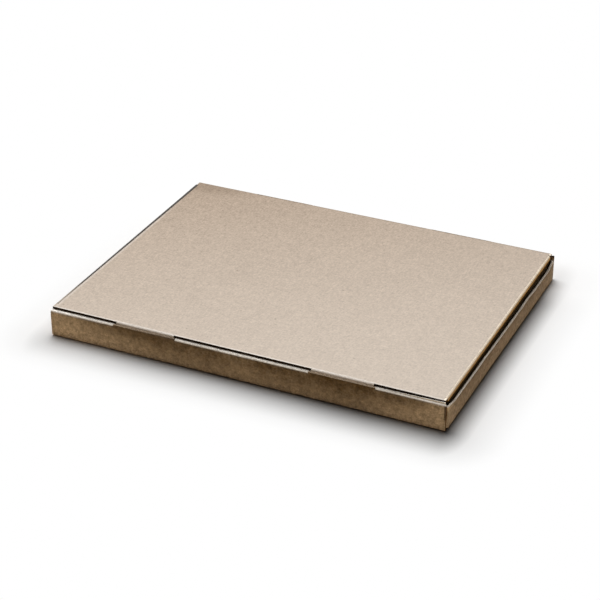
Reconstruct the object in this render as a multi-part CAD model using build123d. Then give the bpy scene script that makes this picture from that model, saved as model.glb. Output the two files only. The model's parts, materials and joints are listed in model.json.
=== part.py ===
from build123d import *

import os
from math import cos, radians, sin

# A flat shipping box, folded from one die-cut sheet of thin fluted board. X runs along the box from
# the lid's crease to the tuck front, Y across it and Z up. The origin is under the middle of the base.
# Lengths are millimetres.

# Closed box, over everything
outer_length = 320.0
outer_width = 246.0
closed_height = 23.8

# Board and its folds
board = 1.6
fold_radius = 2.0
layer_gap = 0.3
fold_leg = 2.0
overrun = 5.0

# Long walls, rolled over a rim and back down to the base
wall_cavity = 2.6
wall_set_back = 0.8
lid_lift = 0.4

# Slots in the rims that take the lid's lock tabs
slot_length = 51.5
slot_spacing = 159.5
slot_width = 2.4
slot_lip = 0.5

# Locks at the foot of the rolled walls, and their slots in the base
lock_length = 36.0
lock_spacing = 200.0
lock_end_gap = 0.5
lock_recess = 0.3
lock_corner = 0.8

# Front wall, and the flaps folded back from both short walls into the rolled walls
front_height = 15.4
front_end_height = 17.8
front_slope_run = 12.0
front_slope_round = 20.0
flap_length = 48.0
flap_corner = 6.0

# Lid
lid_width = 240.0
crease_length = 228.0
crease_gap = 0.15
notch_width = 0.5
notch_depth = 2.2
corner_set_back = 0.4
tab_end_gap = 1.5
tab_depth = 14.0
tab_corner = 5.0
tuck_gap = 0.3
tuck_side_gap = 1.2
tuck_depth = 15.0
tuck_slant_degrees = 10.0
tuck_taper = 4.0
tuck_corner = 6.0

# Planes that several panels share
half_board = board / 2
half_length = outer_length / 2
half_width = outer_width / 2
half_lid = lid_width / 2
half_crease = crease_length / 2
half_tab = slot_length / 2 - tab_end_gap
rim_height = closed_height - board - lid_lift
rolled_face = half_width - 2 * board - wall_cavity
flap_face = half_width - board - layer_gap
flap_top = rim_height - fold_radius - layer_gap
lid_middle = closed_height - half_board
lid_reach = half_length - board - tuck_gap


def folded_section(*middle):
    """A strip of board seen on edge: its middle line, bent round at each corner, given its thickness."""
    line = FilletPolyline(*middle, radius=fold_radius - half_board)
    return trace(line, line_width=board)


def block(low, high):
    """A box between two opposite corners."""
    size = Vector(*high) - Vector(*low)
    middle = (Vector(*high) + Vector(*low)) * 0.5
    return Pos(middle) * Box(*size)


def pair(spacing):
    """The places of two like features, either side of the middle."""
    return (-spacing / 2, spacing / 2)


def base_panel():
    """The flat base with the four slots that take the feet of the rolled walls."""
    reach = (half_length - fold_radius, half_width - fold_radius)
    panel = block((-reach[0], -reach[1], 0), (*reach, board))
    half_slot = lock_length / 2 + lock_end_gap
    for centre in pair(lock_spacing):
        low = (centre - half_slot, rolled_face - layer_gap, -overrun)
        high = (centre + half_slot, rolled_face + board + layer_gap, board + overrun)
        slot = block(low, high)
        panel -= slot
        panel -= mirror(slot, about=Plane.XZ)
    return panel


def rolled_wall():
    """The far long wall: up from the base, over the rim and down inside to its locks in the base."""
    outer_middle = half_width - half_board
    rolled_middle = rolled_face + half_board
    rolled_foot = board + layer_gap
    section = folded_section(
        (half_width - fold_radius - fold_leg, half_board),
        (outer_middle, half_board),
        (outer_middle, rim_height - half_board),
        (rolled_middle, rim_height - half_board),
        (rolled_middle, rolled_foot),
    )
    half_wall = half_length - wall_set_back / 2
    front_end = half_length - wall_set_back
    wall = Pos(-wall_set_back / 2, 0, 0) * extrude(Plane.YZ * section, amount=half_wall, both=True)

    # The layer below the rim stops short of both ends, and the rim itself is tapered back at the front
    taper_run = half_width - half_board - rolled_face
    fold_start = rim_height - fold_radius
    low = (half_length - taper_run, rolled_face - overrun, -overrun)
    end_cut = block(low, (half_length + overrun, half_width - fold_radius, fold_start))
    wall -= end_cut
    wall -= mirror(end_cut, about=Plane.YZ)
    taper = make_face(
        Polyline(
            (front_end, half_width - half_board),
            (front_end - taper_run - overrun, rolled_face - overrun),
            (front_end + overrun, rolled_face - overrun),
            (front_end + overrun, half_width - half_board),
            close=True,
        )
    )
    wall -= extrude(Pos(0, 0, fold_start) * taper, amount=fold_radius + overrun)

    # At a slot the rim is cut away, and the outer layer stands straight up as a thin lip
    half_slot = slot_length / 2
    for centre in pair(slot_spacing):
        left = centre - half_slot
        right = centre + half_slot
        inner_edge = half_width - board - slot_width
        wall -= block((left, inner_edge, fold_start), (right, half_width + overrun, rim_height + overrun))
        wall += block((left, half_width - board, fold_start), (right, half_width, rim_height + slot_lip))

    # Locks at the foot of the rolled-in layer
    half_lock = lock_length / 2
    for centre in pair(lock_spacing):
        low = (centre - half_lock, rolled_face, lock_recess)
        high = (centre + half_lock, rolled_face + board, rolled_foot)
        lock = block(low, high)
        lock = fillet(lock.edges().filter_by(Axis.Y).group_by(Axis.Z)[0], lock_corner)
        wall += lock
    return wall


def end_wall(top):
    """The short wall at the +X end, with its foot on the base and a flap folded back at each side."""
    face_middle = half_length - half_board
    flap_middle = flap_face - half_board
    flap_end = half_length - flap_length
    plan = folded_section(
        (flap_end, -flap_middle),
        (face_middle, -flap_middle),
        (face_middle, flap_middle),
        (flap_end, flap_middle),
    )
    wall = extrude(Pos(0, 0, fold_radius) * plan, amount=top - fold_radius)
    wall = fillet(wall.edges().filter_by(Axis.Y).group_by(Axis.X)[0], flap_corner)
    foot = folded_section(
        (half_length - fold_radius - fold_leg, half_board),
        (face_middle, half_board),
        (face_middle, fold_radius + fold_leg),
    )
    return wall + extrude(Plane.XZ * foot, amount=flap_face - fold_radius, both=True)


def front_dip():
    """What the front wall lacks at its top: it dips between its two folds, so a thumb gets at the lid."""
    side = flap_face - fold_radius
    view = make_face(
        Polyline(
            (-side, front_end_height + overrun),
            (-side, front_end_height),
            (front_slope_run - side, front_height),
            (side - front_slope_run, front_height),
            (side, front_end_height),
            (side, front_end_height + overrun),
            close=True,
        )
    )
    view = fillet(view.vertices().group_by(Axis.Y)[0], front_slope_round)
    return Pos(half_length - fold_radius, 0, 0) * extrude(Plane.YZ * view, amount=fold_radius + overrun)


def crease_fold():
    """The fold from the rear wall to the lid, whole, before it is parted on its bisector."""
    face_middle = half_board - half_length
    section = folded_section(
        (face_middle, flap_top - fold_leg),
        (face_middle, lid_middle),
        (fold_radius + fold_leg - half_length, lid_middle),
    )
    return extrude(Plane.XZ * section, amount=half_crease, both=True)


def crease_plane(gap):
    """The plane that halves the lid's fold, moved towards the lid by a gap."""
    middle = Plane((fold_radius - half_length, 0, closed_height - fold_radius), z_dir=(1, 0, 1))
    return middle.offset(gap)


def make_tray():
    """Base, rolled long walls, short walls and the rear wall's half of the lid's fold, as one sheet."""
    wall = rolled_wall()
    tray = base_panel()
    tray += wall
    tray += mirror(wall, about=Plane.XZ)
    tray += end_wall(front_end_height) - front_dip()
    tray += mirror(end_wall(flap_top), about=Plane.YZ)
    tray += split(crease_fold(), bisect_by=crease_plane(0), keep=Keep.BOTTOM)
    return tray


def lid_panel():
    """The flat top, cut free at both ends of the lid's fold and of the tuck fold, and back to the tabs' folds."""
    rear = corner_set_back - half_length
    front = lid_reach - corner_set_back
    panel = block((rear, -half_lid, closed_height - board), (front, half_lid, closed_height))
    rear_side = half_crease + notch_width
    low = (-half_length - overrun, -rear_side, -overrun)
    high = (notch_depth - half_length, rear_side, closed_height + overrun)
    panel -= block(low, high)
    front_side = rolled_face - tuck_side_gap + notch_width
    low = (lid_reach - notch_depth, -front_side, -overrun)
    high = (lid_reach + overrun, front_side, closed_height + overrun)
    panel -= block(low, high)
    tab_fold = flap_face - fold_radius
    for centre in pair(slot_spacing):
        low = (centre - half_tab, tab_fold, -overrun)
        gap = block(low, (centre + half_tab, half_width + overrun, closed_height + overrun))
        panel -= gap
        panel -= mirror(gap, about=Plane.XZ)
    return panel


def tuck_flap():
    """The flap at the lid's front, folded a little past square, with tapered sides and round corners."""
    slant = radians(tuck_slant_degrees)
    fold_corner = (lid_reach - half_board, lid_middle)
    tip = (fold_corner[0] - tuck_depth * sin(slant), fold_corner[1] - tuck_depth * cos(slant))
    root = (lid_reach - fold_radius - notch_depth, lid_middle)
    flap = extrude(Plane.XZ * folded_section(root, fold_corner, tip), amount=half_width, both=True)
    half_root = rolled_face - tuck_side_gap
    half_tip = half_root - tuck_taper
    taper_top = closed_height - fold_radius
    lowest = tip[1] - board
    front_view = make_face(
        Polyline(
            (-half_root, closed_height),
            (-half_root, taper_top),
            (-half_tip, lowest),
            (half_tip, lowest),
            (half_root, taper_top),
            (half_root, closed_height),
            close=True,
        )
    )
    front_view = fillet(front_view.vertices().group_by(Axis.Y)[0], tuck_corner)
    return flap & extrude(Plane.YZ * front_view, amount=half_length)


def lock_tab():
    """A tab on the lid's far edge, folded down into a rim slot."""
    tab_middle = flap_face - half_board
    section = folded_section(
        (half_lid - fold_radius - fold_leg, lid_middle),
        (tab_middle, lid_middle),
        (tab_middle, closed_height - tab_depth),
    )
    tab = extrude(Plane.YZ * section, amount=half_tab, both=True)
    return fillet(tab.edges().filter_by(Axis.Y).group_by(Axis.Z)[0], tab_corner)


def make_lid():
    """Top panel, the lid's half of its fold, the tuck flap and two lock tabs on each long side."""
    lid = lid_panel()
    lid += split(crease_fold(), bisect_by=crease_plane(crease_gap), keep=Keep.TOP)
    lid += tuck_flap()
    for centre in pair(slot_spacing):
        tab = Pos(centre, 0, 0) * lock_tab()
        lid += tab
        lid += mirror(tab, about=Plane.XZ)
    return lid


os.makedirs("parts", exist_ok=True)
for node, shape in (("tray", make_tray()), ("lid", make_lid())):
    print(node, "solids", len(shape.solids()), "volume", round(shape.volume))
    export_step(shape, f"parts/{node}.step")
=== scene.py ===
# %% [markdown]
# # A flat shipping box, folded from one sheet of board
#
# The real thing is one die-cut sheet of thin fluted board. It is folded into a tray with rolled long walls,
# and its last panel is the lid, which swings on a crease and tucks in at the front. This lesson dresses the
# solid model of that box: it sorts the skin of the sheet from its raw cut edges, opens the flutes where the
# die cut across them, gives each surface its finish, and sets up a camera and a soft studio light. Every
# length is in metres, in the frame of the solid model.

# %% Load the solid model
import json
import math

import bmesh
import bpy
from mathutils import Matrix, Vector
from mathutils.bvhtree import BVHTree


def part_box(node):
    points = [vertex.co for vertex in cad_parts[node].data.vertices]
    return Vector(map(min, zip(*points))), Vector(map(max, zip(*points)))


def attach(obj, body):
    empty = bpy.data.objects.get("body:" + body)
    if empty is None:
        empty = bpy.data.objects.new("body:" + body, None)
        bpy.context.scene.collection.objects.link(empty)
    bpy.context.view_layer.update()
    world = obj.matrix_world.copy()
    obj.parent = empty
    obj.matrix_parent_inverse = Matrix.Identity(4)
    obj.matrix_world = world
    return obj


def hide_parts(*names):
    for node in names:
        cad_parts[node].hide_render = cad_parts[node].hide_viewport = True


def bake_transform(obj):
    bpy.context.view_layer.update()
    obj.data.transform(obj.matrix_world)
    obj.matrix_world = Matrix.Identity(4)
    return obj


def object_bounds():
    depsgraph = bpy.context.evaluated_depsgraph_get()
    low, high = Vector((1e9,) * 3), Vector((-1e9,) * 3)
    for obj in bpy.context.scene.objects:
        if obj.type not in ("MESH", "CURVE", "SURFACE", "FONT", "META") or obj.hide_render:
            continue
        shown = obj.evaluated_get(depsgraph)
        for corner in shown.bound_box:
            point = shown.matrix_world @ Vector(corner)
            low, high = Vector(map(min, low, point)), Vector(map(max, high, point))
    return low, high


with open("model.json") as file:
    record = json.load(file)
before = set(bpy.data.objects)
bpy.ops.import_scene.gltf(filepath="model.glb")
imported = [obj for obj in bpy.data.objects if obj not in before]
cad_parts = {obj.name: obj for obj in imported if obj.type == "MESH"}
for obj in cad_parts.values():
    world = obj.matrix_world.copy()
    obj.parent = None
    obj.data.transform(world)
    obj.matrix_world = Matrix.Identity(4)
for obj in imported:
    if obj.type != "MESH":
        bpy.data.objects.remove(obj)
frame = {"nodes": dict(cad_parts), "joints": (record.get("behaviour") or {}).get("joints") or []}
cad_low, cad_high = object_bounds()
tray_low, tray_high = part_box("tray")
lid_low, lid_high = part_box("lid")
crease_pivot = Vector(frame["joints"][0]["pos_m"])
millimetre = 0.001
hair = 0.01 * millimetre
print("closed box", [round(side, 4) for side in cad_high - cad_low])

# %% [markdown]
# ## Sizes that the finishes follow
#
# Wear, painted highlights and painted shade run along rims, folds and edges, so the materials need to know
# where those are. Most of these places can be read from the corners of the solids. The rest are the sheet's
# own sizes.

# %% Read the rim, the lid's edge and the crease from the solids


def farthest(node, axis, inside):
    """The largest coordinate along an axis, sign left off, among the corners of a solid that pass a test."""
    corners = [vert.co for vert in frame["nodes"][node].data.vertices]
    return max(abs(corner[axis]) for corner in corners if inside(corner))


board = 1.6 * millimetre
fold_radius = 2.0 * millimetre
slot_spacing = 159.5 * millimetre
slot_length = 51.5 * millimetre
rim_start = tray_high.y - fold_radius - hair
rim_height = farthest("tray", 2, lambda at: at.x < tray_low.x + hair and at.y > rim_start)
half_lid = farthest("lid", 1, lambda at: at.z > lid_high.z - hair)
half_crease = farthest("tray", 1, lambda at: at.z > tray_high.z - hair)
front_end_height = farthest("tray", 2, lambda at: at.x > tray_high.x - hair)
print("rim", round(rim_height, 5), "half lid", round(half_lid, 5), "half crease", round(half_crease, 5))

# %% [markdown]
# ## Which faces are skin and which are cut edge
#
# Fluted board has two smooth skins, called liners, and a raw edge wherever the die cut it. The two look
# nothing alike, so they need materials of their own. Picking faces by hand would break with the first change
# of shape. Instead, the faces are gathered into patches that have no sharp corner inside them, and a ray is
# sent from each face straight into the board. In a liner it comes out after one thickness of board, and in a
# cut edge it travels on along the sheet.

# %% Sort a copy of a mesh into patches
merge_distance = 0.001 * millimetre
corner_angle = math.radians(30)
thin_limit = 1.4 * board


def merged_copy(node):
    """A copy of a solid's mesh, with the loose corners of its triangles merged."""
    shape = bmesh.new()
    shape.from_mesh(frame["nodes"][node].data)
    bmesh.ops.remove_doubles(shape, verts=shape.verts, dist=merge_distance)
    bmesh.ops.recalc_face_normals(shape, faces=shape.faces)
    shape.faces.ensure_lookup_table()
    return shape


def smooth_patches(shape):
    """Groups of faces that meet without a sharp corner."""
    waiting = set(shape.faces)
    patches = []
    for first in shape.faces:
        if first not in waiting:
            continue
        waiting.remove(first)
        edge_of_patch = [first]
        patch = []
        while edge_of_patch:
            face = edge_of_patch.pop()
            patch.append(face)
            for edge in face.edges:
                if edge.calc_face_angle(math.pi) > corner_angle:
                    continue
                for neighbour in edge.link_faces:
                    if neighbour in waiting:
                        waiting.remove(neighbour)
                        edge_of_patch.append(neighbour)
        patches.append(patch)
    return patches


def is_liner(patch, tree):
    """True where most of a patch's area has the other side of the board close behind it."""
    thin_area = 0.0
    whole_area = 0.0
    for face in patch:
        start = face.calc_center_median() - face.normal * merge_distance
        hit = tree.ray_cast(start, -face.normal)
        area = face.calc_area()
        whole_area += area
        if hit[3] is not None and hit[3] < thin_limit:
            thin_area += area
    return thin_area > 0.5 * whole_area


# %% [markdown]
# The sheet has an outer liner and an inner liner. On the tray the outer one is underneath the base, runs up
# the walls, over the rims and down inside, because the long walls are rolled over. On the lid it is on top.
# A cut edge gets a UV map that runs across the board from 0 at the outer liner to 1 at the inner one, and
# along the edge in metres, so that a material can draw the layers of the board there. The flutes run across
# the box, along Y, so an edge that runs along X cuts them open. An edge that faces up on the tray is handled
# each time the box is opened, and it is painted paler than the rest, partly for that wear and partly as
# painted light from above.

# %% Give each patch its material slot and each cut edge its UV map
OUTER, INNER, CLOSED_EDGE, OPEN_EDGE, HANDLED_AND_LIT_EDGE, SLOT_LIP, CUT_LINER, HOLLOW = range(8)
across_share = 0.7


def long_axis(patch):
    """The axis, 0 to 2, along which a patch is longest."""
    points = [vert.co for face in patch for vert in face.verts]
    sizes = [max(p[axis] for p in points) - min(p[axis] for p in points) for axis in range(3)]
    return sizes.index(max(sizes))


def facing(patch):
    """The direction that a patch faces on the whole."""
    return sum((face.normal * face.calc_area() for face in patch), Vector()).normalized()


def edge_kind(patch, along):
    """The slot of a cut edge: across the flutes, or along them and facing up, worn and painted pale, or not.
    """
    if facing(patch).z > across_share:
        return SLOT_LIP if along == 0 else HANDLED_AND_LIT_EDGE
    return OPEN_EDGE if along == 0 or abs(facing(patch).y) > across_share else CLOSED_EDGE


def dress_patches(shape, outer_seed):
    """Sets every face's material slot, and the UV map of the cut edges. Returns the cut edges."""
    tree = BVHTree.FromBMesh(shape)
    layer = shape.loops.layers.uv.new("edge")
    patches = smooth_patches(shape)
    liners = [patch for patch in patches if is_liner(patch, tree)]
    edges = [patch for patch in patches if patch not in liners]
    outer_verts = set()
    for patch in liners:
        outside = any(outer_seed(face) for face in patch)
        for face in patch:
            face.material_index = OUTER if outside else INNER
            if outside:
                outer_verts.update(face.verts)
    for patch in edges:
        along = long_axis(patch)
        kind = edge_kind(patch, along)
        for face in patch:
            face.material_index = kind
            for loop in face.loops:
                across = 0.0 if loop.vert in outer_verts else 1.0
                loop[layer].uv = (loop.vert.co[along], across)
    print("  patches", len(patches), "liners", len(liners), "cut edges", len(edges))
    return edges


# %% [markdown]
# ## A front wall that has been used
#
# Thumbs push the front wall down to get at the lid, and after a while its top edge is no longer straight. It
# rises towards the near end and has two low humps. Bending the solid model for that would cost it its flat
# faces. Here the wall is cut into narrow columns, and only the corners along its top edge are moved, so the
# rest of it stays as it was.

# %% Let the front wall's top edge rise and fall
wall_columns = 48
top_zone = 14.0 * millimetre
front_reach = half_crease + 5.0 * millimetre
edge_tilt = (0.2 * millimetre, -1.1 * millimetre)
edge_humps = ((-0.041, 0.4 * millimetre), (0.055, 0.7 * millimetre))
hump_reach = 16.0 * millimetre
level_start = 0.9 * front_reach


def fade(value, start, end):
    """A smooth step from 0 at the start to 1 at the end."""
    share = min(max((value - start) / (end - start), 0.0), 1.0)
    return share * share * (3.0 - 2.0 * share)


def edge_lift(y):
    """How far the front wall's top edge is above its straight line."""
    lift = edge_tilt[0] + edge_tilt[1] * y / front_reach
    for middle, height in edge_humps:
        lift += height * fade(abs(y - middle), hump_reach, 0.0)
    return lift * fade(y, front_reach, level_start)


def bend_front_edge(shape):
    """Cuts the front wall into columns and moves the top of each."""
    inner_face = tray_high.x - board - hair
    for column in range(1, wall_columns):
        at = front_reach * (2.0 * column / wall_columns - 1.0)
        faces = [face for face in shape.faces if all(vert.co.x > inner_face for vert in face.verts)]
        parts = set(faces)
        for face in faces:
            parts.update(face.edges)
            parts.update(face.verts)
        bmesh.ops.bisect_plane(shape, geom=list(parts), plane_co=(0.0, at, 0.0), plane_no=(0.0, 1.0, 0.0))
    fold_start = tray_high.x - fold_radius - hair
    top = [vert for vert in shape.verts if vert.co.x > fold_start and vert.co.z > top_zone]
    top = [vert for vert in top if abs(vert.co.y) < tray_high.y - board]
    for vert in top:
        vert.co.z += edge_lift(vert.co.y)
    print("  front edge corners moved", len(top))


# %% [markdown]
# ## Flutes cut open
#
# Along the lid's two long sides the die cuts straight across the flutes, and there the edge is not flat: it
# is a row of small tunnels between two thin sheets of paper. Paint alone looks flat from close by, so the
# edge is sunk between the liners here, and a wave of paper is put into the sunk space further below.

# %% Sink the lid's long raw edges between the liners
liner_thickness = 0.2 * millimetre
flute_depth = 2.5 * millimetre


def long_raw_edges(edges):
    """The cut edges that lie on the lid's two long sides."""
    return [patch for patch in edges if all(abs(v.co.y) > half_lid - hair for f in patch for v in f.verts)]


def sink_edge(shape, patch):
    """Sinks one flat edge between its liners. Returns the sunk stretch's start, end and side."""
    along = [vert.co.x for face in patch for vert in face.verts]
    side = math.copysign(1.0, facing(patch).y)
    middle = bmesh.ops.dissolve_faces(shape, faces=patch)["region"]
    ring = bmesh.ops.inset_region(shape, faces=middle, thickness=liner_thickness, use_even_offset=True)
    walls = bmesh.ops.inset_region(shape, faces=middle, thickness=hair, depth=-flute_depth)
    for faces, kind in ((ring["faces"], CUT_LINER), (walls["faces"], HOLLOW), (middle, HOLLOW)):
        for face in faces:
            face.material_index = kind
    return min(along) + liner_thickness, max(along) - liner_thickness, side


# %% [markdown]
# ## From a sorted copy to a visible piece
#
# A flat panel of board has to shade flat right up to its fold, and the fold itself round. Smooth shading
# alone would smear the panels, so the corners stay sharp and a modifier weights the normals by the size of
# the faces. Its result is then made a plain mesh, which is what rides on a body.

# %% Turn a sorted copy into a visible piece


def plain_mesh(rough, name):
    """A mesh with an object's modifiers worked in. The object itself is taken away."""
    evaluated = rough.evaluated_get(bpy.context.evaluated_depsgraph_get())
    mesh = bpy.data.meshes.new_from_object(evaluated)
    mesh.name = name
    bpy.data.objects.remove(rough)
    return mesh


def add_object(name, data):
    """A new object of a mesh, a lamp or a camera, in the scene."""
    piece = bpy.data.objects.new(name, data)
    bpy.context.scene.collection.objects.link(piece)
    return piece


def board_piece(name, shape, materials):
    """One visible piece of board, with flat faces that shade flat and folds that shade round."""
    mesh = bpy.data.meshes.new(name)
    shape.to_mesh(mesh)
    shape.free()
    for material in materials:
        mesh.materials.append(material)
    mesh.shade_smooth()
    mesh.set_sharp_from_angle(angle=corner_angle)
    rough = add_object(name + "_rough", mesh)
    rough.modifiers.new("flat faces stay flat", "WEIGHTED_NORMAL").keep_sharp = True
    piece = add_object(name, plain_mesh(rough, name))
    print(name, "faces", len(piece.data.polygons))
    return piece


# %% [markdown]
# ## Node helpers
#
# A material is a small tree of nodes. These helpers place a node, set its values and link it in one line, so
# that each finish below reads as a list of what it is made of.

# %% Helpers that place nodes and work out values


def put(tree, kind, inputs=None, **settings):
    """Adds a node, sets its properties and its inputs, linking those that are sockets."""
    node = tree.nodes.new(kind)
    for name, value in settings.items():
        setattr(node, name, value)
    for name, value in (inputs or {}).items():
        if isinstance(value, bpy.types.NodeSocket):
            tree.links.new(value, node.inputs[name])
        else:
            node.inputs[name].default_value = value
    return node


def maths(tree, operation, first, second=0.0, third=0.0):
    """The result of one Math node."""
    return put(tree, "ShaderNodeMath", {0: first, 1: second, 2: third}, operation=operation).outputs[0]


def times(tree, *factors):
    """The product of several values."""
    product = factors[0]
    for factor in factors[1:]:
        product = maths(tree, "MULTIPLY", product, factor)
    return product


def away(tree, value, centre):
    """How far a value is from a centre, either way."""
    return maths(tree, "ABSOLUTE", maths(tree, "SUBTRACT", value, centre))


def long_side(tree, first, second):
    """The long side of a right triangle with two given sides."""
    square = maths(tree, "ADD", maths(tree, "POWER", first, 2.0), maths(tree, "POWER", second, 2.0))
    return maths(tree, "SQRT", square)


def ramp(tree, value, low, high, to_low=0.0, to_high=1.0, step="SMOOTHSTEP"):
    """A smooth or straight step from to_low to to_high while the value goes from low to high."""
    inputs = {"Value": value, "From Min": low, "From Max": high, "To Min": to_low, "To Max": to_high}
    return put(tree, "ShaderNodeMapRange", inputs, interpolation_type=step).outputs["Result"]


def mix_colour(tree, share, first, second, blend_type="MIX"):
    """Two colours mixed by a share. The node's colour sockets come after those for numbers and vectors."""
    inputs = {"Factor": share, 6: first, 7: second}
    return put(tree, "ShaderNodeMix", inputs, data_type="RGBA", blend_type=blend_type).outputs[2]


# %% Helpers that start a material or a group


def empty_tree(owner):
    """The cleared node tree of a material or a world."""
    owner.use_nodes = True
    owner.node_tree.nodes.clear()
    return owner.node_tree


def new_material(name, roughness, specular):
    """A node material with its shader and output in place."""
    material = bpy.data.materials.new(name)
    tree = empty_tree(material)
    shader = put(tree, "ShaderNodeBsdfPrincipled", {"Roughness": roughness, "Specular IOR Level": specular})
    put(tree, "ShaderNodeOutputMaterial", {"Surface": shader.outputs["BSDF"]})
    return material, tree, shader


def object_place(tree):
    """Where a point is on its piece."""
    return put(tree, "ShaderNodeTexCoord").outputs["Object"]


def edge_place(tree):
    """Where a point is along a cut edge, and across it."""
    return put(tree, "ShaderNodeUVMap", uv_map="edge").outputs["UV"]


def axes(tree, vector):
    """The three coordinates of a vector."""
    return put(tree, "ShaderNodeSeparateXYZ", {0: vector}).outputs


def new_group(name, inputs, outputs):
    """A shader node group with named sockets. One that is named Vector takes a vector."""
    group = bpy.data.node_groups.new(name, "ShaderNodeTree")
    for names, way in ((inputs, "INPUT"), (outputs, "OUTPUT")):
        for socket_name in names:
            kind = "NodeSocketVector" if socket_name == "Vector" else "NodeSocketFloat"
            group.interface.new_socket(socket_name, in_out=way, socket_type=kind)
    return group, put(group, "NodeGroupInput"), put(group, "NodeGroupOutput")


def noise(tree, vector, scale, detail=3.0, roughness=0.6, stretch=None):
    """Noise around 0, drawn out along an axis if a stretch is given."""
    if stretch:
        vector = put(tree, "ShaderNodeMapping", {"Vector": vector, "Scale": stretch}).outputs[0]
    inputs = {"Vector": vector, "Scale": scale, "Detail": detail, "Roughness": roughness}
    return maths(tree, "SUBTRACT", put(tree, "ShaderNodeTexNoise", inputs).outputs["Fac"], 0.5)


# %% [markdown]
# ## The paper
#
# Brown liner is long unbleached fibre. Close up it is a felt of short strokes, lighter and darker, with a few
# dark flecks of bark. From a step away it is a nearly even tone with soft clouds. One group draws all three
# sizes from noise in Object coordinates, so the pattern sits still on the sheet, and every material of the
# box can use it with its own strength.

# %% The fibre group
fibre_scale = 900.0
fibre_stretch = 0.25
speckle_scale = 640.0
mottle_scale = 110.0
cloud_scale = 16.0
fine_share = 0.35
speckle_share = 0.85
mottle_share = 0.4
cloud_share = 0.3
fleck_scale = 130.0
fleck_limit = 0.94
fleck_radii = (0.03, 0.13)
fibre_inputs = ["Vector", "Fibre", "Cloud"]
fibre_group, fibre_in, fibre_out = new_group("paper fibres", fibre_inputs, ["Tone", "Fleck", "Height"])


def build_fibre_group(tree):
    """Fine fibres two ways, speckle, medium mottling and broad clouds, added up around one, and flecks."""
    vector = fibre_in.outputs["Vector"]
    lengthwise = noise(tree, vector, fibre_scale, stretch=(fibre_stretch, 1.0, 1.0))
    crosswise = noise(tree, vector, fibre_scale, stretch=(1.0, fibre_stretch, 1.0))
    fine = maths(tree, "ADD", lengthwise, crosswise)
    speckle = noise(tree, vector, speckle_scale, detail=4.0, roughness=0.85)
    mottle = noise(tree, vector, mottle_scale, detail=4.0)
    cloud = noise(tree, vector, cloud_scale, detail=2.0)
    close_up = maths(tree, "MULTIPLY_ADD", fine, fine_share, times(tree, speckle, speckle_share))
    broad = maths(tree, "MULTIPLY_ADD", mottle, mottle_share, times(tree, cloud, cloud_share))
    tone = maths(tree, "MULTIPLY_ADD", close_up, fibre_in.outputs["Fibre"], 1.0)
    tone = maths(tree, "MULTIPLY_ADD", broad, fibre_in.outputs["Cloud"], tone)
    cells = put(tree, "ShaderNodeTexVoronoi", {"Vector": vector, "Scale": fleck_scale, "Randomness": 1.0})
    pick = put(tree, "ShaderNodeTexWhiteNoise", {"Vector": cells.outputs["Position"]}, noise_dimensions="3D")
    chosen = maths(tree, "GREATER_THAN", pick.outputs["Value"], fleck_limit)
    dot = ramp(tree, cells.outputs["Distance"], *fleck_radii, 1.0, 0.0)
    tree.links.new(tone, fibre_out.inputs["Tone"])
    tree.links.new(times(tree, chosen, dot), fibre_out.inputs["Fleck"])
    tree.links.new(fine, fibre_out.inputs["Height"])


def add_fibres(tree, vector, fibre, cloud):
    """The outputs of the fibre group at a place, with its close-up and its broad strength."""
    inputs = {"Vector": vector, "Fibre": fibre, "Cloud": cloud}
    return put(tree, "ShaderNodeGroup", inputs, node_tree=fibre_group).outputs


build_fibre_group(fibre_group)
print("group", fibre_group.name, "nodes", len(fibre_group.nodes))

# %% [markdown]
# ## Painted lines
#
# The pale lines along the rims, the lid's edges and its folds are painted highlights, and the dark line along
# the lid's far edge is painted shade. The same broken line is needed in many places, so it is a group as
# well.
# It takes the distance to the edge or fold, which each material works out from its own coordinates.

# %% The painted line group
line_core = 0.6
break_scale = 140.0
break_limits = (-0.2, 0.15)
break_shares = (0.8, 1.0)
spot_core = 0.4
painted_line_group, painted_line_in, painted_line_out = new_group("painted line", ["Vector", "Distance", "Width"], ["Mask"])


def build_painted_line_group(tree):
    """A line that fades over its width, a little broken along its length."""
    width = painted_line_in.outputs["Width"]
    band = ramp(tree, painted_line_in.outputs["Distance"], times(tree, width, line_core), width, 1.0, 0.0)
    patches = noise(tree, painted_line_in.outputs["Vector"], break_scale)
    broken = ramp(tree, patches, *break_limits, *break_shares)
    tree.links.new(times(tree, band, broken), painted_line_out.inputs["Mask"])


def painted_line(tree, vector, distance, width):
    """The mask of a painted line."""
    inputs = {"Vector": vector, "Distance": distance, "Width": width}
    return put(tree, "ShaderNodeGroup", inputs, node_tree=painted_line_group).outputs["Mask"]


def spot(tree, first, second, centre, radius):
    """A round soft spot about a centre in two coordinates."""
    distance = long_side(tree, away(tree, first, centre[0]), away(tree, second, centre[1]))
    return ramp(tree, distance, spot_core * radius, radius, 1.0, 0.0)


def lay_marks(tree, colour, marks):
    """A colour with marks laid over it in order, each a mask, its strength and its tone."""
    for mask, strength, tone in marks:
        colour = mix_colour(tree, times(tree, mask, strength), colour, tone)
    return colour


build_painted_line_group(painted_line_group)
print("group", painted_line_group.name, "nodes", len(painted_line_group.nodes))
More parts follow.
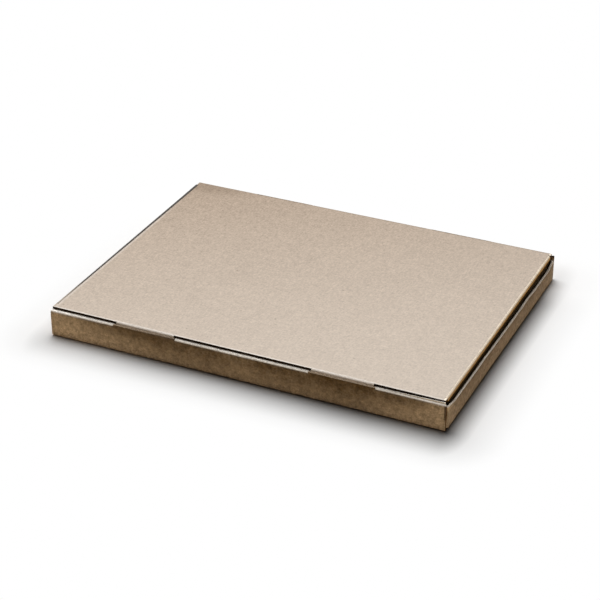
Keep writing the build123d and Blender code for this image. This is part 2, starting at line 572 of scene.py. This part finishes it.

# %% [markdown]
# ### Painted light and shade, and wear, on the lid
#
# The lid is painted paler towards its near front corner, as a sheen, and there its fibres show less. It has
# painted highlights along its near edge, along the near half of its crease and on the tuck fold, which also
# has a burnished shine. The side of that fold is painted browner as shade, and the flap below it has a
# painted shadow, the shade in the slit under the lid's front. The far edge and the far rear corner are
# painted a shade darker, and two specks lie on top. Painted maps could hold all this, but a mask worked out
# from
# Object coordinates stays sharp from close by and moves when a size is changed.

# %% What painted light, painted shade and wear add to the lid
# Painted sheen: the lid's tone runs from lid_paper at the far rear corner to this paler tone at the near
# front.
painted_sheen_paper = (0.75, 0.658, 0.568, 1.0)
sheen_x_share = -0.293
sheen_y_share = 0.592
sheen_limits = (0.389, -0.24)
fibre_shares = (1.62, 0.42)
# Painted highlight: the pale tone of the line along the lid's near edge and of the line beside its crease.
painted_line_paper = (0.80, 0.74, 0.67, 1.0)
near_line_y = 0.5 * millimetre - half_lid
near_line_width = 1.26 * millimetre
near_line_share = 0.6
near_line_shine = 0.3
# Painted highlight on the tuck fold, kept pale where the fold turns from the light; its shine is a real coat.
tuck_highlight_paper = (0.95, 0.81, 0.62, 1.0)
tuck_line_x = lid_high.x - 0.3 * fold_radius
tuck_line_width = 1.35 * millimetre
tuck_line_shine = 0.9
front_zone = (0.9 * lid_high.x, 0.95 * lid_high.x)
front_depths = (lid_high.z - 5 * fold_radius, lid_high.z - 4 * fold_radius)
# Painted shade: below its top, the side of the tuck fold is tinted browner as the shade where it turns down.
fold_side_shade_tone = (0.78, 0.59, 0.36, 1.0)
fold_side_shade_heights = (lid_high.z - 0.25 * fold_radius, lid_high.z - 0.65 * fold_radius)
# Painted shadow: the flap below the tuck fold is painted near black, as the shade in the slit under the lid.
slit_shadow_paper = (0.03, 0.021, 0.014, 1.0)
slit_shadow_heights = (lid_high.z - 1.5 * fold_radius, lid_high.z - 1.7 * fold_radius)
slit_shadow_share = 0.92
# Painted highlight: a pale line beside the near half of the crease.
rear_line_x = lid_low.x + 1.2 * fold_radius
rear_line_width = 1.26 * millimetre
rear_line_reach = (0.2 * half_lid, 0.8 * half_lid)
rear_line_share = 0.4
# Painted shade: the far edge and the far rear corner are darkened with the speck tone, which also marks
# specks.
far_line_width = 1.44 * millimetre
far_corner_radius = 65.0 * millimetre
far_corner_squash = 3.0
far_shade_share = 0.4
speck_and_shade_tone = (0.24, 0.18, 0.13, 1.0)
speck_radius = 1.1 * millimetre
speck_share = 0.5
lid_specks = ((-0.0581, -0.0102), (0.0019, -0.0668))


def lid_painted_light_and_wear(tree, vector, place, colour):
    """The lid's outside: its colour with painted light, shade and marks, its shine, and its fibre strength.
    """
    x, y, z = place
    towards_far = maths(tree, "MULTIPLY_ADD", x, sheen_x_share, times(tree, y, sheen_y_share))
    painted_sheen = ramp(tree, towards_far, *sheen_limits)
    near = painted_line(tree, vector, away(tree, y, near_line_y), near_line_width)
    tuck = painted_line(tree, vector, away(tree, x, tuck_line_x), tuck_line_width)
    on_front = times(tree, ramp(tree, x, *front_zone), ramp(tree, z, *front_depths))
    fold_side_shade = times(tree, on_front, ramp(tree, z, *fold_side_shade_heights))
    slit_shadow = times(tree, on_front, ramp(tree, z, *slit_shadow_heights))
    rear = painted_line(tree, vector, away(tree, x, rear_line_x), rear_line_width)
    rear = times(tree, rear, ramp(tree, y, *rear_line_reach, 1.0, 0.0))
    squashed_y = times(tree, y, far_corner_squash)
    far_corner = spot(tree, x, squashed_y, (lid_low.x, far_corner_squash * half_lid), far_corner_radius)
    far_line = painted_line(tree, vector, away(tree, y, half_lid), far_line_width)
    marks = [
        (painted_sheen, 1.0, painted_sheen_paper),
        (near, near_line_share, painted_line_paper),
        (tuck, 1.0, tuck_highlight_paper),
        (fold_side_shade, 1.0, fold_side_shade_tone),
        (slit_shadow, slit_shadow_share, slit_shadow_paper),
        (rear, rear_line_share, painted_line_paper),
        (maths(tree, "MAXIMUM", far_line, far_corner), far_shade_share, speck_and_shade_tone),
    ]
    marks += [(spot(tree, x, y, centre, speck_radius), speck_share, speck_and_shade_tone) for centre in lid_specks]
    burnished = times(tree, tuck, maths(tree, "SUBTRACT", 1.0, fold_side_shade), tuck_line_shine)
    shine = maths(tree, "MAXIMUM", times(tree, near, near_line_shine), burnished)
    fibre_weight = ramp(tree, painted_sheen, 0.0, 1.0, *fibre_shares, "LINEAR")
    return lay_marks(tree, colour, marks), shine, fibre_weight


# %% [markdown]
# ### Painted shade on the tray's walls
#
# The walls are painted darker as shade: the long ones most in the middle and high up, with an extra darker
# patch towards the front, the short ones more evenly. Around the near front corner both are painted lighter
# again, where more light falls. The painted shade sits in patches, and the paper under it is mottled.

# %% How much shade is painted on the walls
# Painted shade: the tray's paper is pale, and this dark tone is laid over its walls as their shade, in
# patches.
wall_shade_paper = (0.11, 0.068, 0.021, 1.0)
side_zone = (tray_high.y - 2 * fold_radius, tray_high.y - fold_radius)
end_zone = (tray_high.x - 2 * fold_radius, tray_high.x - fold_radius)
wall_shade_middle = 0.01
wall_shade_inner_reach = (0.04, 0.085)
wall_shade_outer_reach = (0.14, 0.22)
side_shade_shares = (0.40, 0.80)
end_shade_shares = (0.32, 0.72)
dark_patch_middle = 0.1
dark_patch_reach = (0.02, 0.05)
dark_patch_strength = 1.2
lit_side_zone = (0.88 * tray_high.x, tray_high.x)
lit_side_share = 0.3
lit_end_zone = (0.75 * tray_low.y, tray_low.y)
lit_end_share = 0.35
broad_patch_scale = 45.0
small_patch_scale = 420.0
patch_strength = 0.7
mottle_limits = (-0.25, 0.25)
mottle_shares = (0.6, 1.4)
wall_mottle_scale = 330.0


def painted_wall_shade(tree, vector, place, on_side, on_end):
    """The mask of the shade painted on the four walls."""
    x, y, z = place
    inner_reach = ramp(tree, z, 0.0, rim_height, *wall_shade_inner_reach)
    outer_reach = ramp(tree, z, 0.0, rim_height, *wall_shade_outer_reach)
    middle = ramp(tree, away(tree, x, wall_shade_middle), inner_reach, outer_reach, 1.0, 0.0)
    dark_patch = ramp(tree, away(tree, x, dark_patch_middle), *dark_patch_reach, dark_patch_strength, 1.0)
    lit_side = ramp(tree, x, *lit_side_zone, 1.0, lit_side_share)
    side_height = ramp(tree, z, 0.0, rim_height, *side_shade_shares)
    side_shade = times(tree, on_side, middle, dark_patch, lit_side, side_height)
    lit_end = ramp(tree, y, *lit_end_zone, 1.0, lit_end_share)
    end_height = ramp(tree, z, 0.0, front_end_height, *end_shade_shares)
    end_shade = times(tree, on_end, lit_end, end_height)
    small_patches = noise(tree, vector, small_patch_scale, detail=4.0, roughness=0.8)
    patches = maths(tree, "ADD", noise(tree, vector, broad_patch_scale), small_patches)
    patches = maths(tree, "MULTIPLY_ADD", patches, patch_strength, 1.0)
    return times(tree, maths(tree, "MAXIMUM", side_shade, end_shade), patches)


# %% [markdown]
# ### Painted light, painted shade and wear on the tray
#
# The rims carry a painted highlight, a pale line except where a slot cuts them away, brighter at their ends,
# and they shine at their ends. The two top corners of the front wall carry a painted highlight too. Below
# each slot the wall is painted darker as shade under the lid's tab, the front wall's corner folds end in a
# seam of painted shade, and one smudge is left near the rear of the near wall.

# %% What painted light, painted shade and wear add to the tray
# Painted shade: a dark seam where the front wall's corner folds meet the long walls.
seam_shade_tone = (0.04, 0.022, 0.012, 1.0)
seam_zone = (tray_high.y - 2.8 * millimetre, tray_high.y - 2.2 * millimetre)
seam_heights = (0.2 * front_end_height, 0.8 * front_end_height)
seam_shade_share = 0.8
front_face = tray_high.x - fold_radius
slot_end = slot_length / 2
# Painted shade on the wall under each slot, where the lid's tab shades it.
under_tab_reach = (0.40 * slot_length, 0.56 * slot_length)
under_tab_heights = (0.6 * rim_height, rim_height)
under_tab_shade_share = 0.4
# Painted highlight: a near-white line on the rims, brighter at their ends, and a pale spot at each front top
# corner.
painted_line_rim = (0.97, 0.91, 0.82, 1.0)
rim_line_width = 1.0 * millimetre
rim_end_zone = (0.8 * tray_high.x, tray_high.x)
rim_middle_share = 0.8
rear_shine = 1.0
middle_shine = 0.2
front_shine = 0.6
shine_start = 0.6
front_corner = (tray_high.y - 2 * fold_radius, front_end_height)
front_corner_radius = 3.0 * millimetre
front_corner_share = 0.6
wall_smudge = (-0.1216, 0.0193)
smudge_radius = 1.6 * millimetre
smudge_share = 0.5


def tray_painted_light_and_wear(tree, vector, place, colour):
    """The tray's outside: its colour with painted light, shade and marks, its shine, and its fibre strength.
    """
    x, y, z = place
    along = maths(tree, "ABSOLUTE", x)
    across = maths(tree, "ABSOLUTE", y)
    on_side = ramp(tree, across, *side_zone)
    on_end = ramp(tree, along, *end_zone)
    on_wall = maths(tree, "MAXIMUM", on_side, on_end)
    colour = mix_colour(tree, painted_wall_shade(tree, vector, place, on_side, on_end), colour, wall_shade_paper)
    mottle = noise(tree, vector, wall_mottle_scale, detail=3.0, roughness=0.7)
    mottle = ramp(tree, mottle, *mottle_limits, *mottle_shares, "LINEAR")
    colour = mix_colour(tree, on_wall, colour, mottle, "MULTIPLY")
    seam_shade = times(tree, ramp(tree, across, *seam_zone), ramp(tree, x, front_face, front_face + hair))
    seam_shade = times(tree, seam_shade, ramp(tree, z, *seam_heights))
    from_slot = away(tree, along, slot_spacing / 2)
    under_tab_shade = times(tree, on_side, ramp(tree, from_slot, *under_tab_reach, 1.0, 0.0))
    under_tab_shade = times(tree, under_tab_shade, ramp(tree, z, *under_tab_heights))
    rim = painted_line(tree, vector, maths(tree, "SUBTRACT", rim_height, z), rim_line_width)
    rim = times(tree, rim, on_side, ramp(tree, from_slot, slot_end, slot_end + hair))
    rim = times(tree, rim, ramp(tree, along, *rim_end_zone, rim_middle_share, 1.0))
    corner = spot(tree, across, z, front_corner, front_corner_radius)
    corner = times(tree, corner, ramp(tree, x, front_face, tray_high.x))
    smudge = times(tree, spot(tree, x, z, wall_smudge, smudge_radius), ramp(tree, y, 0.0, tray_low.y))
    marks = [
        (seam_shade, seam_shade_share, seam_shade_tone),
        (under_tab_shade, under_tab_shade_share, wall_shade_paper),
        (rim, 1.0, painted_line_rim),
        (corner, front_corner_share, painted_line_rim),
        (smudge, smudge_share, speck_and_shade_tone),
    ]
    rear_end = ramp(tree, x, tray_low.x, shine_start * tray_low.x, rear_shine, middle_shine)
    front_end = ramp(tree, x, shine_start * tray_high.x, tray_high.x, middle_shine, front_shine)
    shine = times(tree, rim, maths(tree, "MAXIMUM", rear_end, front_end))
    return lay_marks(tree, colour, marks), shine, 1.0


# %% [markdown]
# ### The liners themselves
#
# Paper is matt, so its reflection is faint and rough. Only where it is rubbed does it shine a little, and a
# thin coat over the paper gives that. The tone comes first, then its painted light and shade and its wear,
# and the fibres over both.

# %% Liner materials
fibre_bump = 0.05 * millimetre
tooth_strength = 0.2
fleck_share = 0.5
coat_roughness = 0.3
coat_index = 1.8
lid_paper = (0.225, 0.13, 0.06, 1.0)
tray_paper = (0.75, 0.68, 0.64, 1.0)
inner_paper = (0.56, 0.455, 0.35, 1.0)
lid_strengths = (1.3, 0.2)
tray_strengths = (1.3, 0.5)
inner_strengths = (1.2, 0.8)


def liner_material(name, colour, strengths, roughness, specular, painted_light_and_wear=None):
    """Paper liner: a tone with its painted light, shade and marks, its fibres and flecks, and a faint tooth.
    """
    material, tree, shader = new_material(name, roughness, specular)
    vector = object_place(tree)
    fibre, cloud = strengths
    if painted_light_and_wear:
        colour, shine, fibre_weight = painted_light_and_wear(tree, vector, axes(tree, vector), colour)
        fibre = times(tree, fibre_weight, fibre)
        tree.links.new(shine, shader.inputs["Coat Weight"])
        shader.inputs["Coat Roughness"].default_value = coat_roughness
        shader.inputs["Coat IOR"].default_value = coat_index
    fibres = add_fibres(tree, vector, fibre, cloud)
    colour = mix_colour(tree, 1.0, colour, fibres["Tone"], "MULTIPLY")
    colour = mix_colour(tree, times(tree, fibres["Fleck"], fleck_share), colour, speck_and_shade_tone)
    tree.links.new(colour, shader.inputs["Base Color"])
    tooth = {"Height": fibres["Height"], "Distance": fibre_bump, "Strength": tooth_strength}
    tree.links.new(put(tree, "ShaderNodeBump", tooth).outputs["Normal"], shader.inputs["Normal"])
    return material


lid_liner = liner_material(
    "lid outer liner", lid_paper, lid_strengths, roughness=0.6, specular=0.0, painted_light_and_wear=lid_painted_light_and_wear
)
tray_liner = liner_material(
    "tray outer liner", tray_paper, tray_strengths, roughness=0.7, specular=0.1, painted_light_and_wear=tray_painted_light_and_wear
)
inner_liner = liner_material("inner liner", inner_paper, inner_strengths, roughness=0.75, specular=0.1)
print("liners", lid_liner.name, tray_liner.name, inner_liner.name)

# %% [markdown]
# ## The cut edge
#
# Between the liners runs the fluted medium. Where the die cuts across the flutes, the edge is a row of holes,
# painted dark as the shade inside them, with a wave of paper between two thin light lines; the paper there is
# painted dark as shade too. Where it cuts along them, the edge is closed, rougher than the liner, and browner
# and darker, partly as painted shade. The UV map made above says how far across the board a point is, so the
# layers need no image.

# %% Cut edge materials
flute_pitch = 3.3 * millimetre
liner_share = liner_thickness / board
core_reach = (0.5 - 1.3 * liner_share, 0.5 - 0.8 * liner_share)
wave_line = (0.08, 0.2)
torn_limits = (-0.15, 0.15)
torn_shares = (0.25, 0.8)
# Cut edges are darker than the liner, partly as painted shade, and where flutes are cut open their holes are
# painted near black as shade.
cut_along_tones = ((0.22, 0.13, 0.07, 1.0), (0.07, 0.03, 0.015, 1.0))
cut_across_shade_tones = ((0.13, 0.09, 0.06, 1.0), (0.02, 0.012, 0.008, 1.0))
# Edges that face up are paler: partly wear, partly painted light from above.
handled_and_lit_tones = ((0.74, 0.67, 0.58, 1.0), (0.58, 0.49, 0.40, 1.0))
slot_lip_tones = ((0.36, 0.29, 0.22, 1.0), (0.17, 0.12, 0.08, 1.0))
# Painted shade: the bare paper in the sunk edge and the wave of paper in it are painted dark.
cut_liner_shade_tone = (0.09, 0.06, 0.04, 1.0)
hollow_shade_tone = (0.04, 0.025, 0.015, 1.0)


def edge_material(name, tones, opened):
    """A raw edge: two liner lines, and between them flutes cut open or cut along."""
    material, tree, shader = new_material(name, roughness=0.9, specular=0.0)
    along, across, _ = axes(tree, edge_place(tree))
    core = ramp(tree, away(tree, across, 0.5), *core_reach, 1.0, 0.0)
    if opened:
        turns = times(tree, along, 2.0 * math.pi / flute_pitch)
        wave = maths(tree, "MULTIPLY_ADD", maths(tree, "SINE", turns), 0.5 - liner_share, 0.5)
        hole = times(tree, core, ramp(tree, away(tree, across, wave), *wave_line))
    else:
        torn = noise(tree, object_place(tree), fibre_scale)
        hole = times(tree, core, ramp(tree, torn, *torn_limits, *torn_shares))
    tree.links.new(mix_colour(tree, hole, *tones), shader.inputs["Base Color"])
    return material


def bare_paper(name, tone):
    """Bare paper inside the board: a tone and its fibres. Both tones given to it are painted dark, as shade.
    """
    material, tree, shader = new_material(name, roughness=0.95, specular=0.0)
    fibres = add_fibres(tree, object_place(tree), fibre=1.2, cloud=0.5)
    colour = mix_colour(tree, 1.0, tone, fibres["Tone"], "MULTIPLY")
    tree.links.new(colour, shader.inputs["Base Color"])
    return material


closed_edge = edge_material("edge cut along flutes", cut_along_tones, opened=False)
handled_and_lit_edge = edge_material("edge facing up, worn and painted pale", handled_and_lit_tones, opened=False)
open_edge = edge_material("edge cut across flutes", cut_across_shade_tones, opened=True)
slot_lip = edge_material("lip of a slot", slot_lip_tones, opened=True)
cut_liner = bare_paper("cut liner", cut_liner_shade_tone)
hollow_paper = bare_paper("inside of a flute", hollow_shade_tone)
print("cut edges", closed_edge.name, handled_and_lit_edge.name, open_edge.name, cut_liner.name, hollow_paper.name)

# %% [markdown]
# ## The two pieces of board
#
# The tray and the lid keep the form of their solids. Each copy stands for its node and rides on its body.

# %% Tray and lid


def under_base(face):
    """A face that lies on the table."""
    return face.calc_center_median().z < tray_low.z + hair


def on_top(face):
    """A face of the closed lid's top."""
    return face.calc_center_median().z > lid_high.z - hair


def finish_list(outer):
    """The materials of a piece of board, in the order of their slots."""
    return (outer, inner_liner, closed_edge, open_edge, handled_and_lit_edge, slot_lip, cut_liner, hollow_paper)


tray_shape = merged_copy("tray")
bend_front_edge(tray_shape)
dress_patches(tray_shape, under_base)
lid_shape = merged_copy("lid")
lid_edges = dress_patches(lid_shape, on_top)
stretches = [sink_edge(lid_shape, patch) for patch in long_raw_edges(lid_edges)]
tray = board_piece("tray_board", tray_shape, finish_list(tray_liner))
lid = board_piece("lid_board", lid_shape, finish_list(lid_liner))
for piece, node in ((tray, "tray"), (lid, "lid")):
    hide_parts(node)
    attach(piece, node)
print("raw stretches", [[round(end, 4) for end in stretch] for stretch in stretches])

# %% [markdown]
# ## The wave of paper in the raw edge
#
# The medium is a strip of paper that runs up and down between the liners. It follows a rule, so Geometry
# Nodes draw it: a straight line along each stretch is cut into short steps, moved up and down by a sine, and
# given a thin oblong section. Pitch, height, depth and thickness are inputs of the tree.

# %% A tree that makes the wave
steps_per_flute = 12


def wave_tree():
    """Geometry Nodes that turn straight lines into waves of paper."""
    tree = bpy.data.node_groups.new("fluted medium", "GeometryNodeTree")
    tree.interface.new_socket("Lines", in_out="INPUT", socket_type="NodeSocketGeometry")
    for name in ("Pitch", "Wave Height", "Depth", "Thickness"):
        tree.interface.new_socket(name, in_out="INPUT", socket_type="NodeSocketFloat")
    tree.interface.new_socket("Paper", in_out="INPUT", socket_type="NodeSocketMaterial")
    tree.interface.new_socket("Medium", in_out="OUTPUT", socket_type="NodeSocketGeometry")
    given = put(tree, "NodeGroupInput").outputs
    curve = put(tree, "GeometryNodeMeshToCurve", {"Mesh": given["Lines"]}).outputs["Curve"]
    step = maths(tree, "DIVIDE", given["Pitch"], steps_per_flute)
    curve = put(tree, "GeometryNodeResampleCurve", {"Curve": curve, "Length": step}, mode="LENGTH").outputs[0]
    along = axes(tree, put(tree, "GeometryNodeInputPosition").outputs[0])["X"]
    turns = times(tree, maths(tree, "DIVIDE", along, given["Pitch"]), 2.0 * math.pi)
    rise = times(tree, maths(tree, "SINE", turns), maths(tree, "DIVIDE", given["Wave Height"], 2.0))
    offset = put(tree, "ShaderNodeCombineXYZ", {"Z": rise}).outputs[0]
    curve = put(tree, "GeometryNodeSetPosition", {"Geometry": curve, "Offset": offset}).outputs[0]
    curve = put(tree, "GeometryNodeSetCurveNormal", {"Curve": curve}, mode="Z_UP").outputs[0]
    section = {"Width": given["Depth"], "Height": given["Thickness"]}
    section = put(tree, "GeometryNodeCurvePrimitiveQuadrilateral", section).outputs["Curve"]
    swept = {"Curve": curve, "Profile Curve": section, "Fill Caps": True}
    swept = put(tree, "GeometryNodeCurveToMesh", swept).outputs["Mesh"]
    swept = put(tree, "GeometryNodeRealizeInstances", {0: swept}).outputs[0]
    swept = put(tree, "GeometryNodeSetMaterial", {"Geometry": swept, "Material": given["Paper"]}).outputs[0]
    tree.links.new(swept, put(tree, "NodeGroupOutput").inputs["Medium"])
    return tree


# %% The lid's fluted medium
medium_thickness = 0.16 * millimetre
medium_set_back = 0.05 * millimetre


def make_flutes(name, material):
    """The wave in every sunk stretch of the lid's long edges, as one piece."""
    depth = flute_depth - 2 * medium_set_back
    middle_y = half_lid - medium_set_back - depth / 2
    middle_z = lid_high.z - board / 2
    corners = []
    for start, end, side in stretches:
        corners += [(start, side * middle_y, middle_z), (end, side * middle_y, middle_z)]
    lines = bpy.data.meshes.new(name + "_lines")
    lines.from_pydata(corners, [(2 * index, 2 * index + 1) for index in range(len(stretches))], [])
    rough = add_object(name + "_rough", lines)
    modifier = rough.modifiers.new("wave", "NODES")
    modifier.node_group = wave_tree()
    sizes = {
        "Pitch": flute_pitch,
        "Wave Height": board - 2 * liner_thickness - medium_thickness,
        "Depth": depth,
        "Thickness": medium_thickness,
        "Paper": material,
    }
    for item in modifier.node_group.interface.items_tree:
        if item.in_out == "INPUT" and item.name in sizes:
            modifier[item.identifier] = sizes[item.name]
    rough.update_tag()
    flutes = add_object(name, plain_mesh(rough, name))
    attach(flutes, "lid")
    print(name, "faces", len(flutes.data.polygons))
    return flutes


# The wave gets the cut liner's paper, painted dark as the shade inside the edge.
flutes = make_flutes("lid_flutes", cut_liner)

# %% [markdown]
# ## The crease
#
# The lid and the rear wall are one sheet, bent round on a crease. In the solid model that bend is two halves,
# parted by a hair, because the two turn against each other. A thin curved strip closes it here. It follows
# the tray on one side and the lid on the other and bends between them, as the paper does. It bulges a little,
# more at its far end. Its dark line along the fold is painted shade, and that line fades towards the near
# end of the box.

# %% The crease's finish
crease_paper = (0.60, 0.51, 0.42, 1.0)
# Painted shade: the dark line along the visible side of the fold.
crease_shade_tone = (0.03, 0.022, 0.016, 1.0)
crease_shade_start = (0.25, 0.4)
crease_fade_reach = (-half_crease, -0.6 * half_crease)
crease_fade_shares = (0.35, 1.0)


def crease_material():
    """Paper of the outer liner with a dark line of painted shade along the fold."""
    material, tree, shader = new_material("crease with painted shade", roughness=0.6, specular=0.3)
    along, round_bend, _ = axes(tree, edge_place(tree))
    line = ramp(tree, round_bend, *crease_shade_start)
    line = times(tree, line, ramp(tree, along, *crease_fade_reach, *crease_fade_shares))
    tree.links.new(mix_colour(tree, line, crease_paper, crease_shade_tone), shader.inputs["Base Color"])
    return material


# %% The crease strip
crease_steps = 24
skin = 0.03 * millimetre
crease_bulges = (0.45 * millimetre, 1.1 * millimetre)
CREASE_OUTSIDE, CREASE_INSIDE, CREASE_END = range(3)


def crease_rings(shape, centre):
    """Corners round the bend: at its near and at its far end, a row outside the board and a row inside."""
    radii = (fold_radius + skin, fold_radius - board - skin)
    turns = [math.pi / 2 * step / crease_steps for step in range(crease_steps + 1)]
    rings = []
    for y, bulge in zip((-half_crease + skin, half_crease - skin), crease_bulges):
        for radius in radii:
            ring = []
            for turn in turns:
                reach = radius + bulge * math.sin(2 * turn)
                point = Vector((-math.cos(turn), 0.0, math.sin(turn))) * reach + centre
                ring.append(shape.verts.new((point.x, y, point.z)))
            rings.append(ring)
    return rings


def make_crease(name):
    """A strip of board along the bend, from the rear wall to the lid."""
    shape = bmesh.new()
    layer = shape.loops.layers.uv.new("edge")
    outward = Vector((-1.0, 0.0, 1.0)).normalized()
    centre = crease_pivot - outward * fold_radius
    near_outer, near_inner, far_outer, far_inner = crease_rings(shape, centre)

    def wall(corners, kind):
        """One face, with its slot and its UV map along the crease and round the bend."""
        face = shape.faces.new(corners)
        face.material_index = kind
        for loop in face.loops:
            at = loop.vert.co - centre
            loop[layer].uv = (loop.vert.co.y, math.atan2(at.z, -at.x) / (math.pi / 2))

    for step in range(crease_steps):
        after = step + 1
        wall((near_outer[step], near_outer[after], far_outer[after], far_outer[step]), CREASE_OUTSIDE)
        wall((near_inner[step], far_inner[step], far_inner[after], near_inner[after]), CREASE_INSIDE)
        wall((near_outer[step], near_inner[step], near_inner[after], near_outer[after]), CREASE_END)
        wall((far_outer[step], far_outer[after], far_inner[after], far_inner[step]), CREASE_END)
    for step in (0, crease_steps):
        wall((near_outer[step], far_outer[step], far_inner[step], near_inner[step]), CREASE_END)
    bmesh.ops.recalc_face_normals(shape, faces=shape.faces)
    crease = board_piece(name, shape, (crease_material(), inner_liner, closed_edge))
    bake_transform(crease)
    return crease


crease = make_crease("lid_crease")

# %% [markdown]
# ## Floor, light and camera
#
# The box lies on a white sweep under two large soft panels, one overhead and one behind it, so the lid is
# bright and the two walls that face the camera are lit almost only by the floor. A plain white floor would
# turn grey with the light. This one is white to the camera away from the box; close to it, it keeps the
# lamps' shadow and adds a painted shadow, and it throws a warm light back at the walls.

# %% Floor
floor_half = 6.0
shadow_reach = (0.012, 0.05)
# Painted shadow: close to the box the floor's own colour is darkened, most on the right and least past the
# far end.
painted_shadow_reach = (0.018, 0.034)
painted_shadow_shares = (0.60, 0.29)
painted_shadow_end = 0.9
far_end_reach = (0.075, 0.11)
far_end_share = 0.65
bounce_tone = (0.74, 0.52, 0.27, 1.0)
white_tone = (1.0, 1.0, 1.0, 1.0)
floor_gap = 0.05 * millimetre


def seen_directly(tree):
    """1 for rays from the camera, and for those that it sees in a mirror or through glass."""
    path = put(tree, "ShaderNodeLightPath")
    seen = maths(tree, "MAXIMUM", path.outputs["Is Camera Ray"], path.outputs["Is Glossy Ray"])
    return maths(tree, "MAXIMUM", seen, path.outputs["Is Transmission Ray"])


def floor_material():
    """A pale floor that takes the lamps' shadow and a painted shadow near the box, and fades to white for the
    camera.
    """
    material = bpy.data.materials.new("white sweep")
    tree = empty_tree(material)
    x, y, _ = axes(tree, object_place(tree))
    past_x = maths(tree, "SUBTRACT", maths(tree, "ABSOLUTE", x), cad_high.x)
    past_y = maths(tree, "SUBTRACT", maths(tree, "ABSOLUTE", y), cad_high.y)
    past_x = maths(tree, "MAXIMUM", past_x, 0.0)
    past_y = maths(tree, "MAXIMUM", past_y, 0.0)
    clear = ramp(tree, long_side(tree, past_x, past_y), *shadow_reach)
    darkest = ramp(tree, x, cad_low.x, cad_high.x, *painted_shadow_shares)
    share_x = maths(tree, "DIVIDE", past_x, painted_shadow_reach[0])
    share_y = maths(tree, "DIVIDE", past_y, painted_shadow_reach[1])
    painted_shadow = ramp(tree, long_side(tree, share_x, share_y), 0.0, 1.0, darkest, painted_shadow_end, "LINEAR")
    past_far_end = ramp(tree, y, *far_end_reach, 0.0, far_end_share)
    painted_shadow = maths(tree, "MULTIPLY_ADD", past_far_end, maths(tree, "SUBTRACT", 1.0, painted_shadow), painted_shadow)
    shadowed = put(tree, "ShaderNodeBsdfDiffuse", {"Color": painted_shadow}).outputs[0]
    white = put(tree, "ShaderNodeEmission", {"Color": white_tone, "Strength": 1.0}).outputs[0]
    sweep = put(tree, "ShaderNodeMixShader", {0: clear, 1: shadowed, 2: white}).outputs[0]
    bounce = put(tree, "ShaderNodeBsdfDiffuse", {"Color": bounce_tone}).outputs[0]
    floor = put(tree, "ShaderNodeMixShader", {0: seen_directly(tree), 1: bounce, 2: sweep}).outputs[0]
    put(tree, "ShaderNodeOutputMaterial", {"Surface": floor})
    return material


def make_floor():
    """A large flat floor under the box."""
    mesh = bpy.data.meshes.new("floor")
    corners = [(-floor_half, -floor_half, 0), (floor_half, -floor_half, 0)]
    corners += [(floor_half, floor_half, 0), (-floor_half, floor_half, 0)]
    mesh.from_pydata(corners, [], [(0, 1, 2, 3)])
    mesh.materials.append(floor_material())
    floor = add_object("floor", mesh)
    return floor


floor = make_floor()
floor.location.z = cad_low.z - floor_gap
print("floor at", floor.location.z)

# %% Light
panel_height = 2.4
back_panel_middle = (-1.15, 2.0)
back_panel_size = (2.6, 4.0)
back_panel_watts = 82.0
top_panel_middle = (-0.6, 0.7)
top_panel_size = (1.8, 1.8)
top_panel_watts = 44.0
fill_tone = (1.0, 0.92, 0.80, 1.0)
fill_strength = 0.04


def soft_panel(name, middle, size, watts):
    """A level area lamp that shines down."""
    lamp = bpy.data.lights.new(name, "AREA")
    lamp.shape = "RECTANGLE"
    lamp.size, lamp.size_y = size
    lamp.energy = watts
    holder = add_object(name, lamp)
    holder.location = (*middle, panel_height)
    return holder


soft_panel("back_panel", back_panel_middle, back_panel_size, back_panel_watts)
soft_panel("top_panel", top_panel_middle, top_panel_size, top_panel_watts)


def studio_world():
    """White to the camera, and a faint even fill for everything else."""
    world = bpy.data.worlds.new("studio")
    tree = empty_tree(world)
    fill = put(tree, "ShaderNodeBackground", {"Color": fill_tone, "Strength": fill_strength}).outputs[0]
    white = put(tree, "ShaderNodeBackground", {"Color": white_tone, "Strength": 1.0}).outputs[0]
    mixed = put(tree, "ShaderNodeMixShader", {0: seen_directly(tree), 1: fill, 2: white}).outputs[0]
    put(tree, "ShaderNodeOutputWorld", {"Surface": mixed})
    bpy.context.scene.world = world


studio_world()
bpy.context.scene.view_settings.view_transform = "Standard"
print("panels", back_panel_watts, top_panel_watts, "watts, fill", fill_strength)

# %% Camera
camera_azimuth = math.radians(24.75)
camera_elevation = math.radians(29.27)
camera_distance = 1.3994
camera_target = Vector((-0.01227, 0.00779, -0.00118))
focal_pixels = 1768.6
image_pixels = 600
sensor_width = 36.0


def make_camera():
    """The viewpoint that was fitted to the corners of the lid."""
    flat = math.cos(camera_elevation)
    sideways = math.sin(camera_azimuth) * flat
    back = Vector((sideways, -math.cos(camera_azimuth) * flat, math.sin(camera_elevation)))
    lens = bpy.data.cameras.new("camera")
    lens.sensor_width = sensor_width
    lens.lens = focal_pixels / image_pixels * sensor_width
    camera = add_object("camera", lens)
    camera.location = camera_target + back * camera_distance
    camera.rotation_euler = (-back).to_track_quat("-Z", "Y").to_euler()
    bpy.context.scene.camera = camera
    return camera


camera = make_camera()
print("camera", [round(part, 3) for part in camera.location], "lens", round(camera.data.lens, 1))
